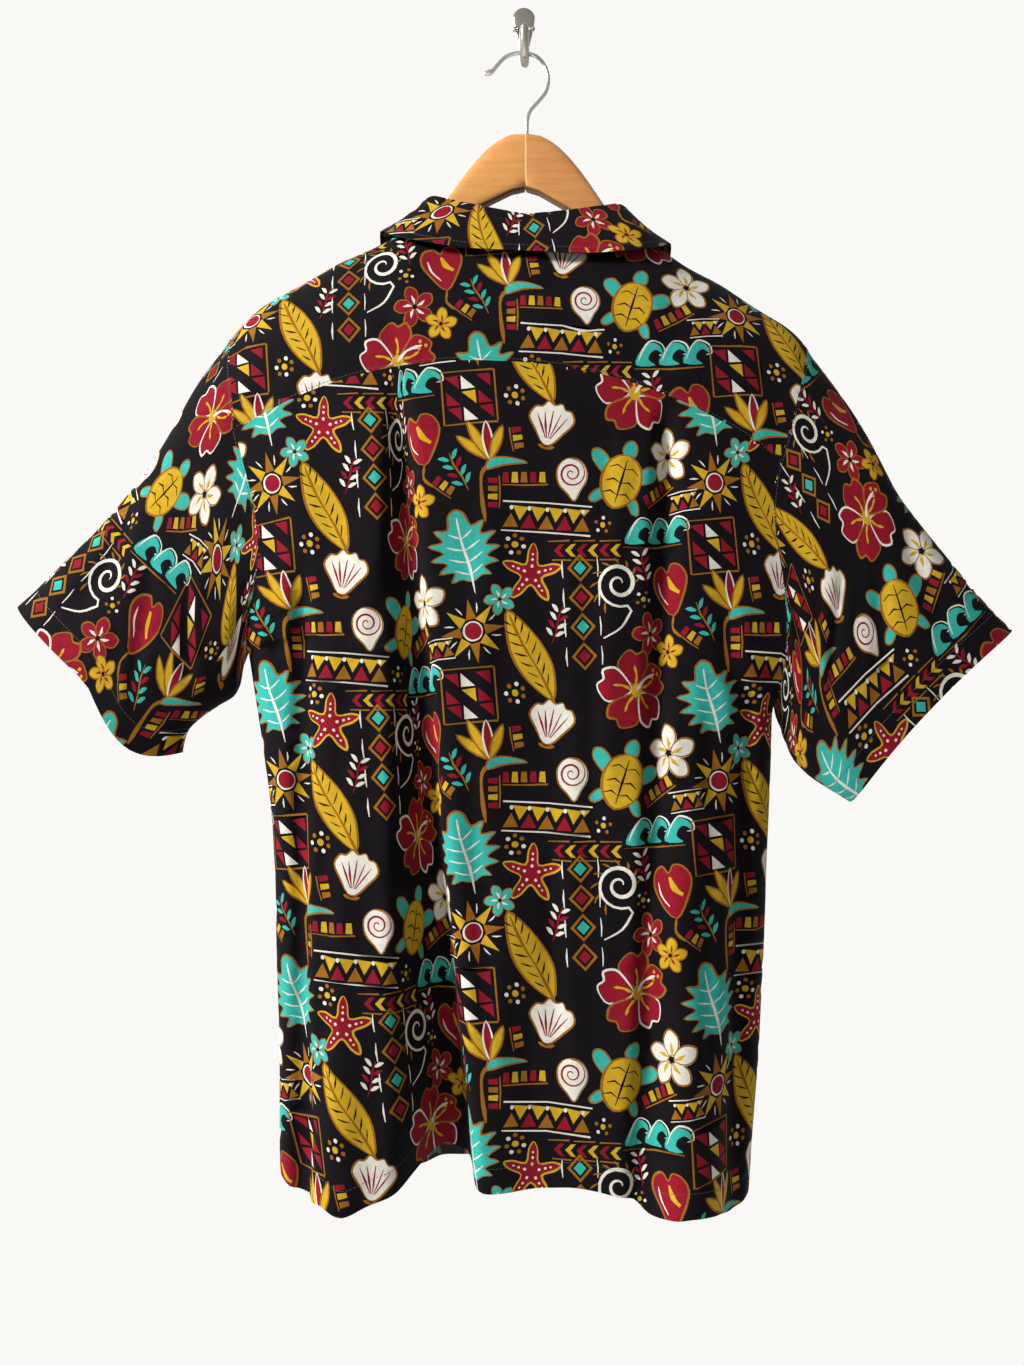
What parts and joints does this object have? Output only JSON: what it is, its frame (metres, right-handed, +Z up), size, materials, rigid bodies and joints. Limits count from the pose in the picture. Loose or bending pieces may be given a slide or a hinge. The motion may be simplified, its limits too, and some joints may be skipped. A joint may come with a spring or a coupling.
{
  "type": "hawaiian shirt on a wooden hanger and wall hook",
  "caption": "Loose short-sleeved printed shirt hanging on a contoured wooden hanger, its back to the room, held by the hanger's wire hook from a small wall hook.",
  "frame": {"origin": "on the back face of the wall hook's plate, between its two screws", "axes": "+Z up, +Y into the wall, -Y towards the room, +X to the right as seen from the room; the shirt's back faces the room"},
  "size_m": [0.8063, 0.1203, 1.0016],
  "materials": {
    "printed_cloth": "matte",
    "beech": "satin",
    "steel": "polished",
    "nickel": "satin",
    "button": "gloss"
  },
  "bodies": {
    "root": {"back": "printed_cloth", "yoke": "printed_cloth", "front_left": "printed_cloth", "front_right": "printed_cloth", "sleeve_left": "printed_cloth", "sleeve_right": "printed_cloth", "collar": "printed_cloth", "lapel_left": "printed_cloth", "lapel_right": "printed_cloth", "button_1": "button", "button_2": "button", "button_3": "button", "button_4": "button", "button_5": "button", "hanger_body": "beech", "hanger_hook": "steel", "wall_hook": "nickel", "screw_1": "nickel", "screw_2": "nickel"}
  },
  "joints": []
}
